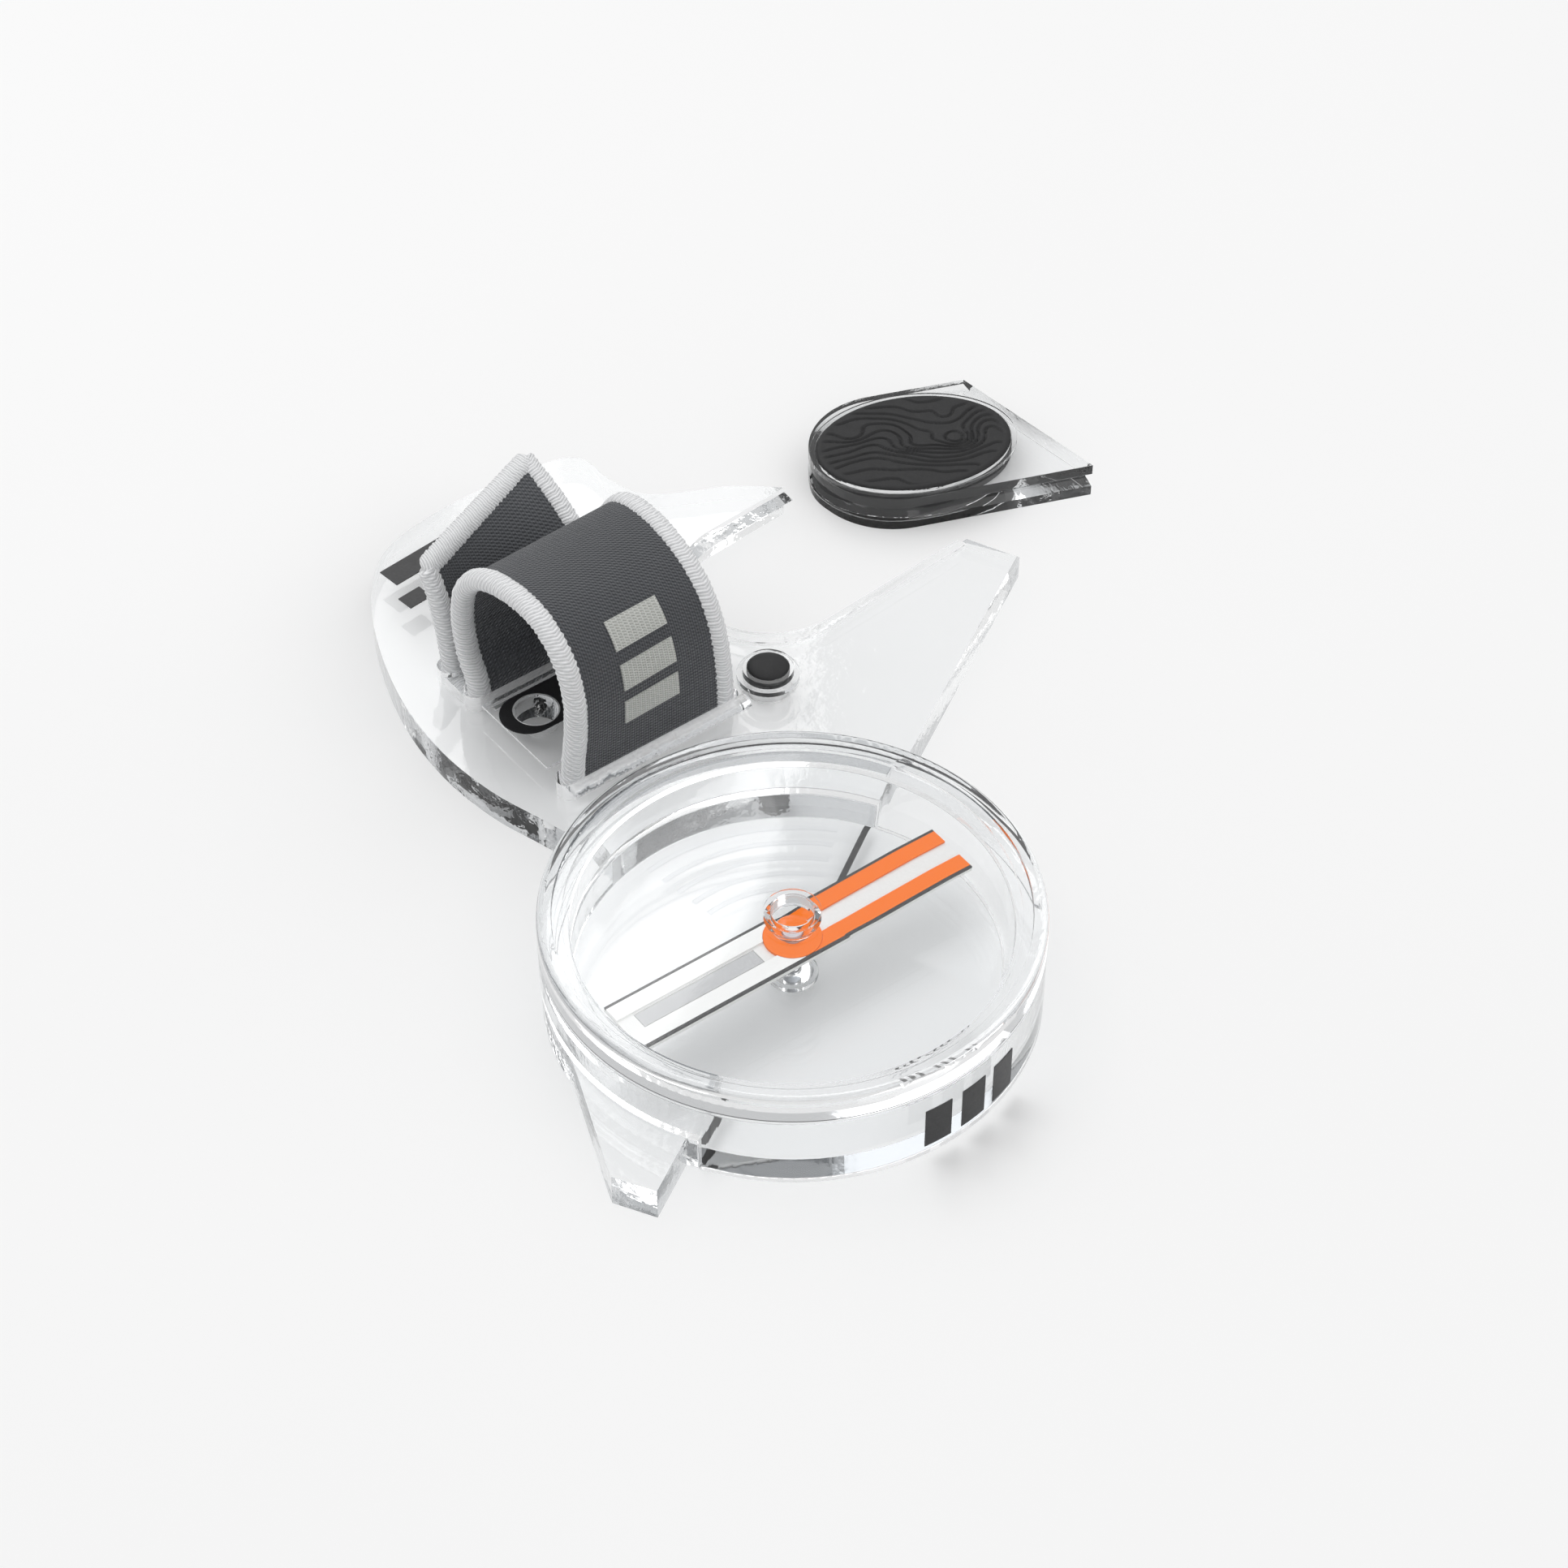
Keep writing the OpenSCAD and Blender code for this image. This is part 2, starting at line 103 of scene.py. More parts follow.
FRAME_PX = 1932
FOCAL_PX = 4382.95
AZIMUTH, ELEVATION, DISTANCE = 22.0, 44.4508, 0.330
AIM_OFF_AXIS = (-10.19, 23.28, 0)
LAMPS_AIM = Vector((0, 0.03, 0))
DOME = 0.80
CARDS = 5.0
axis_low, axis_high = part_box("capsule_housing")
capsule_axis = Vector(((axis_low.x + axis_high.x) / 2, (axis_low.y + axis_high.y) / 2, 0))
aim = capsule_axis + Vector(AIM_OFF_AXIS) * MM

cam_data = bpy.data.cameras.new("camera")
cam = bpy.data.objects.new("camera", cam_data)
scene.collection.objects.link(cam)
a, e = radians(AZIMUTH), radians(ELEVATION)
cam.location = aim + DISTANCE * Vector((sin(a) * cos(e), -cos(a) * cos(e), sin(e)))
cam.rotation_euler = (aim - cam.location).to_track_quat("-Z", "Y").to_euler()
cam_data.sensor_width = 36.0
cam_data.lens = FOCAL_PX / FRAME_PX * cam_data.sensor_width
cam_data.clip_start = 0.01
cam_data.clip_end = 20
scene.camera = cam


def area(name, at, size, power):
    """Round softbox turned towards the part."""
    data = bpy.data.lights.new(name, "AREA")
    data.shape = "DISK"
    data.size = size
    data.energy = power
    lamp = bpy.data.objects.new(name, data)
    scene.collection.objects.link(lamp)
    lamp.location = at
    lamp.rotation_euler = (LAMPS_AIM - Vector(at)).to_track_quat("-Z", "Y").to_euler()


area("key_softbox", (-0.45, 0.15, 0.75), 0.5, 1.4)
area("fill_softbox", (0.55, -0.1, 0.6), 0.5, 0.7)
area("back_panel", (-0.47, 0.64, 0.68), 0.42, 0.85)

world = bpy.data.worlds.new("studio")
scene.world = world
world.use_nodes = True


def studio_light(wt):
    """Even white dome with a dimmer horizon broken by a few dark cards, which edge the clear parts."""
    bg = next(n for n in wt.nodes if n.type == "BACKGROUND")
    coord = wt.nodes.new("ShaderNodeTexCoord")
    split = wt.nodes.new("ShaderNodeSeparateXYZ")
    wt.links.new(coord.outputs["Generated"], split.inputs[0])
    height = split.outputs["Z"]
    dome = shaded(wt, height, [(0.0, 0.7), (0.03, 0.36), (0.16, 0.42), (0.32, 0.95), (0.7, 1.0)])
    round_about = maths(wt, "ARCTAN2", split.outputs["Y"], split.outputs["X"])
    wave = maths(wt, "SINE", maths(wt, "MULTIPLY", round_about, CARDS))
    cards = shaded(wt, wave, [(0.45, 0.0), (0.65, 1.0)])
    low_only = shaded(wt, height, [(0.16, 1.0), (0.24, 0.0)])
    shade = maths(wt, "SUBTRACT", 1.0, maths(wt, "MULTIPLY", maths(wt, "MULTIPLY", cards, low_only), 0.85))
    wt.links.new(maths(wt, "MULTIPLY", dome, shade), bg.inputs["Color"])
    bg.inputs["Strength"].default_value = DOME


studio_light(world.node_tree)


# ------------------------------------------------------------------ materials

def new_material(name):
    m = bpy.data.materials.new(name)
    m.use_nodes = True
    nt = m.node_tree
    p = next(n for n in nt.nodes if n.type == "BSDF_PRINCIPLED")
    return m, nt, p


def mm_coords(nt, uv=False):
    """Object or UV coordinates in millimetres."""
    c = nt.nodes.new("ShaderNodeTexCoord")
    s = nt.nodes.new("ShaderNodeVectorMath")
    s.operation = "SCALE"
    s.inputs["Scale"].default_value = PER_METRE
    nt.links.new(c.outputs["UV" if uv else "Object"], s.inputs[0])
    return s.outputs[0]


def noise_of(nt, co, scale, detail=2.0, rough=0.5):
    n = nt.nodes.new("ShaderNodeTexNoise")
    for key, v in (("Scale", scale), ("Detail", detail), ("Roughness", rough)):
        n.inputs[key].default_value = v
    nt.links.new(co, n.inputs["Vector"])
    return n.outputs["Fac"]


def ranged(nt, value, low, high, from_low=0.0, from_high=1.0):
    r = nt.nodes.new("ShaderNodeMapRange")
    for key, v in (("From Min", from_low), ("From Max", from_high), ("To Min", low), ("To Max", high)):
        r.inputs[key].default_value = v
    nt.links.new(value, r.inputs["Value"])
    return r.outputs[0]


def bump(nt, p, height, distance, strength=1.0, after=None):
    b = nt.nodes.new("ShaderNodeBump")
    b.inputs["Strength"].default_value = strength
    b.inputs["Distance"].default_value = distance
    nt.links.new(height, b.inputs["Height"])
    if after is not None:
        nt.links.new(after, b.inputs["Normal"])
    nt.links.new(b.outputs[0], p.inputs["Normal"])
    return b.outputs[0]


LIT_THROUGH = (0.982, 0.985, 0.987, 1)
TRAPPED_TINT = (0.70, 0.71, 0.72, 1)
DEEP_RAY, DEEP_GLOSSY = 6.5, 2.5


def clear_material(name, tint, ior, ripple, rough=0.02):
    """Clear moulded plastic with faint flow ripple, strongest on upright faces.

    Lamps reach what lies behind it, and a ray that stays trapped inside passes on with a grey tint.
    """
    m, nt, p = new_material(name)
    co = mm_coords(nt)
    p.inputs["Transmission Weight"].default_value = 1.0
    p.inputs["IOR"].default_value = ior
    p.inputs["Base Color"].default_value = (*tint, 1)
    nt.links.new(ranged(nt, noise_of(nt, co, 1.4, 3), rough, rough + 0.03), p.inputs["Roughness"])
    face = nt.nodes.new("ShaderNodeNewGeometry")
    up = nt.nodes.new("ShaderNodeSeparateXYZ")
    nt.links.new(face.outputs["True Normal"], up.inputs[0])
    side = ranged(nt, maths(nt, "ABSOLUTE", up.outputs["Z"]), 1.0, 0.1, 0.2, 0.8)
    b = bump(nt, p, noise_of(nt, co, 0.45, 3, 0.6), ripple * MM, 1.0)
    nt.links.new(side, b.node.inputs["Strength"])
    path = nt.nodes.new("ShaderNodeLightPath")
    lamp = maths(nt, "MAXIMUM", path.outputs["Is Shadow Ray"], path.outputs["Is Diffuse Ray"])
    deep = maths(nt, "MAXIMUM", maths(nt, "GREATER_THAN", path.outputs["Ray Depth"], DEEP_RAY),
                 maths(nt, "GREATER_THAN", path.outputs["Glossy Depth"], DEEP_GLOSSY))
    surface = p.outputs[0]
    for chosen, tone in ((deep, TRAPPED_TINT), (lamp, LIT_THROUGH)):
        through = nt.nodes.new("ShaderNodeBsdfTransparent")
        through.inputs[0].default_value = tone
        mix = nt.nodes.new("ShaderNodeMixShader")
        nt.links.new(chosen, mix.inputs[0])
        nt.links.new(surface, mix.inputs[1])
        nt.links.new(through.outputs[0], mix.inputs[2])
        surface = mix.outputs[0]
    out = next(n for n in nt.nodes if n.type == "OUTPUT_MATERIAL")
    nt.links.new(surface, out.inputs["Surface"])
    return m


def ink_material(name, low, high, rough, gloss=0.5):
    """Print or paint, slightly uneven in tone and gloss."""
    m, nt, p = new_material(name)
    co = mm_coords(nt)
    speck = noise_of(nt, co, 5, 4, 0.6)
    nt.links.new(coloured(nt, speck, [(0.3, low), (0.7, high)]), p.inputs["Base Color"])
    nt.links.new(ranged(nt, noise_of(nt, co, 2.2, 3), rough, rough + 0.12), p.inputs["Roughness"])
    p.inputs["Specular IOR Level"].default_value = gloss
    bump(nt, p, noise_of(nt, co, 12, 2), 0.004 * MM, 0.5)
    return m


def metal_material(name, colour, rough):
    m, nt, p = new_material(name)
    co = mm_coords(nt)
    p.inputs["Metallic"].default_value = 1.0
    grain = noise_of(nt, co, 6, 4, 0.65)
    shade = [(0.3, tuple(c * 0.82 for c in colour)), (0.7, colour)]
    nt.links.new(coloured(nt, grain, shade), p.inputs["Base Color"])
    nt.links.new(ranged(nt, grain, rough, rough + 0.15), p.inputs["Roughness"])
    return m


def rubber_material(name):
    m, nt, p = new_material(name)
    co = mm_coords(nt)
    speck = noise_of(nt, co, 6, 5, 0.7)
    tone = [(0.25, (0.018, 0.018, 0.019)), (0.75, (0.028, 0.028, 0.029))]
    nt.links.new(coloured(nt, speck, tone), p.inputs["Base Color"])
    nt.links.new(ranged(nt, noise_of(nt, co, 1.1, 3), 0.52, 0.72), p.inputs["Roughness"])
    p.inputs["Specular IOR Level"].default_value = 0.35
    bump(nt, p, noise_of(nt, co, 9, 4, 0.7), 0.02 * MM, 0.6)
    return m


def across_and_along(nt, uv):
    xyz = nt.nodes.new("ShaderNodeSeparateXYZ")
    nt.links.new(uv, xyz.inputs[0])
    return xyz.outputs["X"], xyz.outputs["Y"]


def weave_material(name, dark, light, thread=0.36):
    """Fine twill: slanted weft floats over lengthwise warp, in the strap's own millimetres."""
    m, nt, p = new_material(name)
    uv = mm_coords(nt, uv=True)
    s, t = across_and_along(nt, uv)
    row = maths(nt, "MULTIPLY", t, tau / thread)
    col = maths(nt, "MULTIPLY", s, tau / (thread * 1.5))
    slant = maths(nt, "ADD", row, col)
    weft = maths(nt, "SINE", row)
    twill = maths(nt, "SINE", slant)
    warp = maths(nt, "SINE", maths(nt, "MULTIPLY", s, tau / (thread * 0.75)))
    height = maths(nt, "ADD", maths(nt, "MULTIPLY", weft, 0.45),
                   maths(nt, "ADD", maths(nt, "MULTIPLY", twill, 0.55),
                         maths(nt, "MULTIPLY", warp, 0.25)))
    fuzz = noise_of(nt, uv, 7, 4, 0.7)
    broad = noise_of(nt, uv, 0.5, 3, 0.6)
    # painted shade: the colour follows the thread height, darker in the hollows between threads and
    # lighter on the floats; the two noises add random fibre tone
    tone = maths(nt, "ADD", ranged(nt, height, 0.0, 0.75, -1.25, 1.25),
                 maths(nt, "ADD", maths(nt, "MULTIPLY", fuzz, 0.25),
                       maths(nt, "MULTIPLY", broad, 0.22)))
    nt.links.new(coloured(nt, tone, [(0.2, dark), (0.95, light)]), p.inputs["Base Color"])
    nt.links.new(ranged(nt, fuzz, 0.8, 0.95), p.inputs["Roughness"])
    p.inputs["Sheen Weight"].default_value = 0.25
    p.inputs["Sheen Roughness"].default_value = 0.5
    p.inputs["Specular IOR Level"].default_value = 0.2
    first = bump(nt, p, height, 0.07 * MM, 0.9)
    bump(nt, p, fuzz, 0.05 * MM, 0.5, after=first)
    return m


def knit_material(name, dark, light):
    """Fine slanted rows of an overlocked edge binding."""
    m, nt, p = new_material(name)
    uv = mm_coords(nt, uv=True)
    s, t = across_and_along(nt, uv)
    loop = maths(nt, "SINE", maths(nt, "ADD", maths(nt, "MULTIPLY", t, tau / 0.3),
                                   maths(nt, "MULTIPLY", s, tau / 1.1)))
    fuzz = noise_of(nt, uv, 5, 4, 0.7)
    # painted shade: the colour follows the slanted loops, darker in the troughs between them and lighter
    # on their crests; the noise adds random fibre tone
    tone = maths(nt, "ADD", ranged(nt, loop, 0.1, 0.6, -1, 1), maths(nt, "MULTIPLY", fuzz, 0.5))
    nt.links.new(coloured(nt, tone, [(0.15, dark), (0.9, light)]), p.inputs["Base Color"])
    nt.links.new(ranged(nt, fuzz, 0.8, 0.95), p.inputs["Roughness"])
    p.inputs["Sheen Weight"].default_value = 0.3
    p.inputs["Specular IOR Level"].default_value = 0.2
    first = bump(nt, p, loop, 0.05 * MM, 0.7)
    bump(nt, p, fuzz, 0.06 * MM, 0.5, after=first)
    return m


CLEAR = clear_material("clear_plate", (0.985, 0.99, 0.992), 1.49, 0.14)
CLEAR_CAPSULE = clear_material("clear_capsule", (0.99, 0.994, 0.996), 1.45, 0.02)
CLEAR_DETAIL = clear_material("clear_detail", (0.98, 0.98, 0.985), 1.12, 0.002, 0.08)
NEEDLE_CLEAR = ink_material("needle_strip", (0.80, 0.80, 0.79), (0.86, 0.86, 0.85), 0.25)
INK = ink_material("black_print", (0.010, 0.010, 0.011), (0.022, 0.022, 0.024), 0.35)
ORANGE = ink_material("orange_paint", (0.98, 0.175, 0.0), (1.0, 0.20, 0.0), 0.5, 0.15)
WHITE = ink_material("white_paint", (0.90, 0.90, 0.89), (0.95, 0.95, 0.94), 0.3)
MAGNET = ink_material("magnet", (0.47, 0.475, 0.485), (0.56, 0.565, 0.575), 0.35)
PIN = metal_material("pin_steel", (0.72, 0.73, 0.75), 0.15)
JEWEL = ink_material("jewel", (0.62, 0.58, 0.62), (0.72, 0.68, 0.72), 0.1)
RUBBER = rubber_material("black_rubber")
# each strap colour pair runs from the darker colour of the hollows, partly painted shade, to the colour of
# the thread tops
WEAVE = weave_material("strap_weave", (0.040, 0.042, 0.047), (0.098, 0.103, 0.112))
MOTIF = weave_material("strap_motif_thread", (0.42, 0.43, 0.40), (0.68, 0.69, 0.66))
KNIT = knit_material("strap_knit", (0.54, 0.55, 0.56), (0.95, 0.955, 0.965))
SEAM_LINE = ink_material("seam_shade", (0.05, 0.05, 0.052), (0.09, 0.09, 0.093), 0.4)


# ------------------------------------------------------------------ mesh helpers

def make(name, verts, faces, material, uvs=None, smooth=True, angle=40):
    """A mesh piece, sharp where faces meet at more than angle.

    uvs holds one (u, v) per vertex, in metres.
    """
    mesh = bpy.data.meshes.new(name)
    mesh.from_pydata([tuple(v) for v in verts], [], faces)
    if uvs:
        layer = mesh.uv_layers.new(name="metres")
        for loop in mesh.loops:
            layer.data[loop.index].uv = uvs[loop.vertex_index]
    mesh.materials.append(material)
    for poly in mesh.polygons:
        poly.use_smooth = smooth
    mesh.validate()
    mesh.update()
    if smooth:
        mesh.set_sharp_from_angle(angle=radians(angle))
    piece = bpy.data.objects.new(name, mesh)
    scene.collection.objects.link(piece)
    return piece


def quads(rows, size, wrap_rows, wrap_ring):
    """Faces of a grid of vertices, rows of size each, closed on itself where asked."""
    faces = []
    for i in range(rows if wrap_rows else rows - 1):
        here, there = i * size, (i + 1) % rows * size
        for j in range(size if wrap_ring else size - 1):
            k = (j + 1) % size
            faces.append((here + j, there + j, there + k, here + k))
    return faces


def tube(rows, size):
    """Faces of a sweep of closed rings with both ends capped."""
    last = rows * size - 1
    return quads(rows, size, False, True) + [tuple(range(size)), tuple(range(last, last - size, -1))]


MERGE_DIST = 2e-6
FLAT_ANGLE = 0.6
SHARP_ANGLE = 30


def refined(name, source, material, width, lift=0.0):
    """A smooth, softly bevelled copy of a CAD node, lifted a hair off the clear face it stands on."""
    bm = bmesh.new()
    bm.from_mesh(nodes[source].data)
    bmesh.ops.remove_doubles(bm, verts=bm.verts, dist=MERGE_DIST)
    bmesh.ops.dissolve_limit(bm, angle_limit=radians(FLAT_ANGLE), verts=bm.verts, edges=bm.edges)
    mesh = bpy.data.meshes.new(name)
    bm.to_mesh(mesh)
    bm.free()
    mesh.transform(Matrix.Translation((0, 0, lift * MM)))
    mesh.materials.clear()
    mesh.materials.append(material)
    for poly in mesh.polygons:
        poly.use_smooth = True
    mesh.set_sharp_from_angle(angle=radians(SHARP_ANGLE))
    piece = bpy.data.objects.new(name, mesh)
    scene.collection.objects.link(piece)
    if width:
        mod = piece.modifiers.new("edge", "BEVEL")
        mod.width = width * MM
        mod.segments = 2
        mod.limit_method = "ANGLE"
        mod.angle_limit = radians(SHARP_ANGLE)
        mod.harden_normals = True
        mod.use_clamp_overlap = True
    return piece


def lathe(name, profile, at, material, count=96):
    """Profile [(radius, height)] in mm turned about a vertical axis at (x, y) mm, both ends closed."""
    verts, uvs = [], []
    for i in range(count):
        t = tau * i / count
        for r, z in profile:
            verts.append(((at[0] + r * cos(t)) * MM, (at[1] + r * sin(t)) * MM, z * MM))
            uvs.append((t * profile[0][0] * MM, z * MM))
    m = len(profile)
    faces = quads(count, m, True, False)
    bottom, top = len(verts), len(verts) + 1
    for z in (profile[0][1], profile[-1][1]):
        verts.append((at[0] * MM, at[1] * MM, z * MM))
        uvs.append((0, 0))
    for i in range(count):
        j = (i + 1) % count
        faces.append((bottom, j * m, i * m))
        faces.append((top, i * m + m - 1, j * m + m - 1))
    return make(name, verts, faces, material, uvs)


def ring(name, section, at, material, count=192):
    """Closed ring of section [(radius, height)] in mm about a vertical axis at a point in metres."""
    verts, uvs = [], []
    for i in range(count):
        t = tau * i / count
        for r, z in section:
            verts.append((at.x + r * cos(t) * MM, at.y + r * sin(t) * MM, z * MM))
            uvs.append((t * r * MM, z * MM))
    return make(name, verts, quads(count, len(section), True, True), material, uvs)


def stands_for(piece, body, slot, *names):
    """The piece takes the place of CAD nodes on a body."""
    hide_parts(*names)
    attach(piece, body)
    return piece


# ------------------------------------------------------------------ clear mouldings

# piece, CAD node, material, edge width in mm, lift in mm, body, slot
for name, source, material, width, lift, body, slot in (
    ("plate_clear", "base_plate", CLEAR, 0.16, 0, "plate", "clear_plate"),
    ("capsule_wall", "capsule_housing", CLEAR_CAPSULE, 0.1, 0, "plate", "clear_capsule"),
    ("capsule_window", "capsule_lens", CLEAR_CAPSULE, 0.08, 0.02, "plate", "clear_capsule"),
    ("module_clear", "module_plate", CLEAR, 0.2, 0, "pad_module", "clear_plate"),
    ("pivot_cone", "pivot_boss", CLEAR_CAPSULE, 0.08, 0.01, "plate", "clear_detail"),
    ("turning_marks", "floor_rings", CLEAR_DETAIL, 0, 0.01, "plate", "clear_detail"),
):
    stands_for(refined(name, source, material, width, lift), body, slot, source)

# CAD nodes that show as they are
for name, material in (
    ("plate_print", INK), ("lanyard_print", INK), ("travel_line", INK), ("capsule_print", INK),
    ("pivot_pin", PIN), ("needle_carrier", NEEDLE_CLEAR),
    ("needle_north", ORANGE), ("needle_south", WHITE), ("needle_disc", ORANGE),
    ("needle_edges", INK), ("needle_magnet", MAGNET), ("needle_jewel", JEWEL),
):
    nodes[name].data.materials.clear()
    nodes[name].data.materials.append(material)


# ------------------------------------------------------------------ strap

STRAP_AT = (-23.2, 21.45)
STRAP_TURN = radians(30)
STRAP_W, BAND_T, BINDING_T, BINDING_W = 19.5, 1.1, 2.0, 2.3
PLATE_T, SLOT_RIGHT, SLOT_INNER, SLOT_OUTER = 3.4, -0.2, 14.8, 19.1
START_Z, IN_SLOT_Z, UNDER_Z = 2.0, 2.3, 1.15
# for the near and the far edge: loop height, then (outward, share of the height)
LOOP = (
    (16.4, [(-0.5, 0.1), (-1.2, 0.34), (-1.4, 0.6), (-0.1, 0.84), (3.4, 1), (8.2, 1),
            (12.8, 0.89), (15.7, 0.7), (16.7, 0.47), (16.3, 0.22), (15.1, 0.04)]),
    (13.6, [(-0.2, 0.1), (0.2, 0.36), (1.1, 0.6), (3, 0.82), (6.4, 0.98), (10.8, 1.05),
            (14.8, 0.99), (17.1, 0.77), (17.5, 0.48), (16.8, 0.22), (15.2, 0.04)]),
)
# for the near and the far edge: knee and tip of the tail, (outward, height)
TAIL = (((19.6, 9.2), (21.8, 13.2)), ((21.3, 9), (31.6, 11.4)))
LOOP_STEPS, TAIL_STEPS = 16, 48


def spline(points, steps):
    """Points along a smooth curve through the given ones; the last point is left to the next run."""
    out, n = [], len(points)
    for i in range(n - 1):
        p0, p1, p2, p3 = (Vector(points[max(0, min(n - 1, i + k))]) for k in (-1, 0, 1, 2))
        for k in range(steps):
            t = k / steps
            out.append(0.5 * (2 * p1 + (p2 - p0) * t + (2 * p0 - 5 * p1 + 4 * p2 - p3) * t * t
                              + (3 * p1 - p0 - 3 * p2 + p3) * t ** 3))
    return out


def strap_path(side):
    """Centre line of one strap edge, (outward, height) in mm, as dense points."""
    height, loop = LOOP[side]
    knee, tip = TAIL[side]
    control = [(SLOT_RIGHT, IN_SLOT_Z)] + [(u, PLATE_T + 0.2 + height * f) for u, f in loop]
    control += [(SLOT_INNER, IN_SLOT_Z)]
    under = [(SLOT_INNER, IN_SLOT_Z), (SLOT_INNER + 0.35, UNDER_Z + 0.35), (SLOT_INNER + 1.1, UNDER_Z),
             (SLOT_OUTER - 1.1, UNDER_Z), (SLOT_OUTER - 0.35, UNDER_Z + 0.35), (SLOT_OUTER, IN_SLOT_Z)]
    tail = []
    for i in range(TAIL_STEPS + 1):
        t = i / TAIL_STEPS
        tail.append((1 - t) ** 2 * Vector((SLOT_OUTER, IN_SLOT_Z)) + 2 * t * (1 - t) * Vector(knee)
                    + t * t * Vector(tip))
    return [Vector((SLOT_RIGHT, START_Z))] + spline(control, LOOP_STEPS) + spline(under, 8) + tail


PATHS = (strap_path(0), strap_path(1))
LAST = len(PATHS[0]) - 1


def on_path(side, t):
    """Point of one edge at station t, between its dense points."""
    i = min(LAST - 1, max(0, int(t)))
    return PATHS[side][i].lerp(PATHS[side][i + 1], t - i)


def strap_point(t, n, s):
    """Row-frame point in metres at path station t, n mm off the middle, s mm across."""
    k = (s + STRAP_W / 2) / STRAP_W
    q = on_path(0, t) * (1 - k) + on_path(1, t) * k
    ahead = [(on_path(j, min(LAST, t + 1.5)) - on_path(j, max(0, t - 1.5))).normalized() for j in (0, 1)]
    d = (ahead[0] * (1 - k) + ahead[1] * k).normalized()
    u, z = q.x - n * d.y, q.y + n * d.x
    c, w = cos(STRAP_TURN), sin(STRAP_TURN)
    return Vector((STRAP_AT[0] - u * c + s * w, STRAP_AT[1] + u * w + s * c, z)) * MM


def even_stations(s, pitch):
    """Stations and arc lengths at equal steps of pitch mm along the line at s."""
    marks = [strap_point(t, 0, s) for t in range(LAST + 1)]
    length = [0.0]
    for p, q in zip(marks, marks[1:]):
        length.append(length[-1] + (q - p).length * PER_METRE)
    count = int(length[-1] / pitch)
    out, i = [], 0
    for k in range(count + 1):
        want = length[-1] * k / count
        while i < LAST - 1 and length[i + 1] < want:
            i += 1
        out.append((i + (want - length[i]) / max(1e-9, length[i + 1] - length[i]), want))
    return out


def sweep(name, section, stations, material, angle=50):
    """Closed sweep: section(t, length) gives the ring of (n, s, u) at a station."""
    verts, uvs = [], []
    for t, length in stations:
        for n, s, u in section(t, length):
            verts.append(strap_point(t, n, s))
            uvs.append((u * MM, length * MM))
    rows = len(stations)
    return make(name, verts, tube(rows, len(verts) // rows), material, uvs, angle=angle)


BAND_HALF = STRAP_W / 2 - BINDING_W + 0.35
BAND_COLS = 16
MOTIF_HALF, MOTIF_COLS, MOTIF_RISE, MOTIF_SINK = 3.2, 8, 0.14, 0.05
RIB, RIB_STEP, RIB_DEPTH, RIB_SLANT = 0.62, 0.105, 0.045, 1.8
ROUND = 18
BINDING_ANGLE = 80


def flat_section(half, cols, top, bottom):
    """Section of a flat band: cols columns across, at two offsets from the middle surface."""
    def section(t, length):
        across = [-half + 2 * half * k / cols for k in range(cols + 1)]
        return [(top, s, s) for s in across] + [(bottom, s, s) for s in reversed(across)]
    return section


def binding_section(middle):
    """Ribbed, slightly uneven round section of an edge binding."""
    def section(t, length):
        ring = []
        for k in range(ROUND):
            b = tau * k / ROUND
            drift = 1.2 * noise.noise(Vector((length * 0.6, middle, 0)))
            slant = tau * length / RIB + drift + RIB_SLANT * sin(b) * (1 if middle > 0 else -1)
            swell = 1 + RIB_DEPTH * sin(slant)
            wobble = 0.07 * noise.noise(Vector((length * 2.1, cos(b) * 2, sin(b) * 2 + middle)))
            r = swell + wobble
            ring.append((BINDING_T / 2 * cos(b) * r, middle + BINDING_W / 2 * sin(b) * r,
                         BINDING_W / 2 * abs(b - pi)))
        return ring
    return section


band = flat_section(BAND_HALF, BAND_COLS, BAND_T / 2, -BAND_T / 2)
stands_for(sweep("strap_woven", band, even_stations(0, 0.45), WEAVE), "plate", "strap_weave", "strap_band")
for side, name in ((-1, "near"), (1, "far")):
    middle = side * (STRAP_W - BINDING_W) / 2
    piece = sweep("strap_edge_" + name, binding_section(middle), even_stations(middle, RIB_STEP), KNIT,
                  BINDING_ANGLE)
    stands_for(piece, "plate", "strap_knit", "strap_binding_" + name)


def end_binding():
    """Ribbed binding folded over the free end of the tail."""
    verts, uvs = [], []
    span = STRAP_W - 1.2
    steps = int(span / RIB_STEP)
    for i in range(steps + 1):
        s = -span / 2 + span * i / steps
        middle = strap_point(LAST, 0, s)
        along = (strap_point(LAST, 0, s + 0.1) - strap_point(LAST, 0, s - 0.1)).normalized()
        out = (strap_point(LAST, 0.5, s) - strap_point(LAST, -0.5, s)).normalized()
        ahead = along.cross(out).normalized()
        drift = 1.2 * noise.noise(Vector((s * 0.6, 9, 0)))
        end = min(1.0, 0.35 + (span / 2 - abs(s)) / 0.8)
        for k in range(ROUND):
            b = tau * k / ROUND
            r = 1 + RIB_DEPTH * sin(tau * i * RIB_STEP / RIB + drift + RIB_SLANT * sin(b))
            r += 0.07 * noise.noise(Vector((s * 2.1, cos(b) * 2, sin(b) * 2 + 9)))
            off = out * cos(b) * BINDING_T / 2 + ahead * sin(b) * BINDING_W / 2
            verts.append(middle + off * r * end * MM)
            uvs.append((BINDING_W / 2 * abs(b - pi) * MM, s * MM))
    return make("strap_edge_end", verts, tube(steps + 1, ROUND), KNIT, uvs, angle=BINDING_ANGLE)


stands_for(end_binding(), "plate", "strap_knit", "strap_binding_end")

